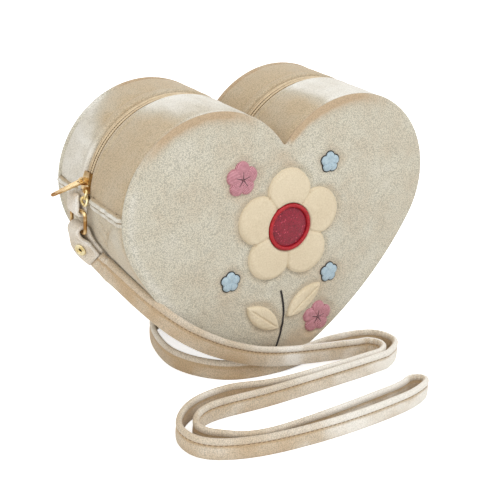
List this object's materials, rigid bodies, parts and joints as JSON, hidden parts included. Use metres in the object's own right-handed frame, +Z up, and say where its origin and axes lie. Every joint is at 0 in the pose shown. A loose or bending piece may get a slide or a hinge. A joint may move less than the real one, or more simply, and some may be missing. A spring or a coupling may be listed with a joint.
{
  "type": "heart shaped shoulder purse",
  "caption": "Heart shaped padded velvet shoulder purse with a zip over both lobes, a ring at each side and a long padded strap that lies folded before it.",
  "frame": {"origin": "the lowest point of the heart's rounded tip, in the middle of its width and between the two panel seams", "axes": "+X to the right of someone who looks at the front, along the width; the front faces -Y; +Z is up"},
  "size_m": [0.2417, 0.1816, 0.1711],
  "materials": {
    "velvet": "velvet with a short speckled nap",
    "strap_velvet": "velvet with a short nap",
    "foam": "soft open foam",
    "lining": "plain woven",
    "zip_tape": "woven tape",
    "zip_nylon": "satin nylon",
    "gold_metal": "polished",
    "pale_gold": "polished",
    "cream_felt": "padded felt",
    "red_glitter": "glitter cloth",
    "red_satin": "satin stitch",
    "pink_satin": "satin stitch",
    "blue_satin": "satin stitch",
    "black_thread": "thread"
  },
  "bodies": {
    "bag": {"front_panel": "velvet", "back_panel": "velvet", "front_foam": "foam", "back_foam": "foam", "front_lining": "lining", "back_lining": "lining", "front_zip_strip": "velvet", "back_zip_strip": "velvet", "lower_gusset": "velvet", "gusset_lining": "lining", "left_binding": "velvet", "right_binding": "velvet", "front_zip_tape": "zip_tape", "back_zip_tape": "zip_tape", "front_zip_teeth": "zip_nylon", "back_zip_teeth": "zip_nylon", "zip_stops": "gold_metal", "left_tab": "strap_velvet", "right_tab": "strap_velvet", "left_strap_end": "strap_velvet", "right_strap_end": "strap_velvet", "left_rivet": "gold_metal", "right_rivet": "gold_metal", "strap": "strap_velvet", "flower_petals": "cream_felt", "flower_centre": "red_glitter", "flower_border": "red_satin", "leaves": "cream_felt", "pink_blossoms": "pink_satin", "blue_blossoms": "blue_satin", "stems": "black_thread"},
    "slider": {"zip_slider": "gold_metal"},
    "puller": {"zip_puller": "gold_metal"},
    "upper_link": {"chain_link_upper": "pale_gold"},
    "lower_link": {"chain_link_lower": "pale_gold"},
    "ring_left": {"left_ring": "gold_metal"},
    "ring_right": {"right_ring": "gold_metal"}
  },
  "joints": [
    {"name": "zip_travel", "type": "hinge", "parent": "bag", "child": "slider", "pos_m": [-0.04834, 0.005, 0.11434], "axis": [0, 1, 0], "range_deg": [0, 114]},
    {"name": "puller_swing", "type": "hinge", "parent": "slider", "child": "puller", "pos_m": [-0.10719, 0.005, 0.12526], "axis": [0, 1, 0], "range_deg": [-30, 115]},
    {"name": "upper_link_swing", "type": "hinge", "parent": "slider", "child": "upper_link", "pos_m": [-0.10761, -0.001, 0.12154], "axis": [0, 1, 0], "range_deg": [-4, 30]},
    {"name": "lower_link_swing", "type": "hinge", "parent": "upper_link", "child": "lower_link", "pos_m": [-0.10761, -0.001, 0.11664], "axis": [0, 1, 0], "range_deg": [-4, 30]},
    {"name": "left_ring_swing", "type": "hinge", "parent": "bag", "child": "ring_left", "pos_m": [-0.1091, 0.006, 0.10844], "axis": [0, 1, 0], "range_deg": [-5, 5]},
    {"name": "right_ring_swing", "type": "hinge", "parent": "bag", "child": "ring_right", "pos_m": [0.1091, 0.006, 0.10844], "axis": [0, 1, 0], "range_deg": [-5, 5]}
  ]
}
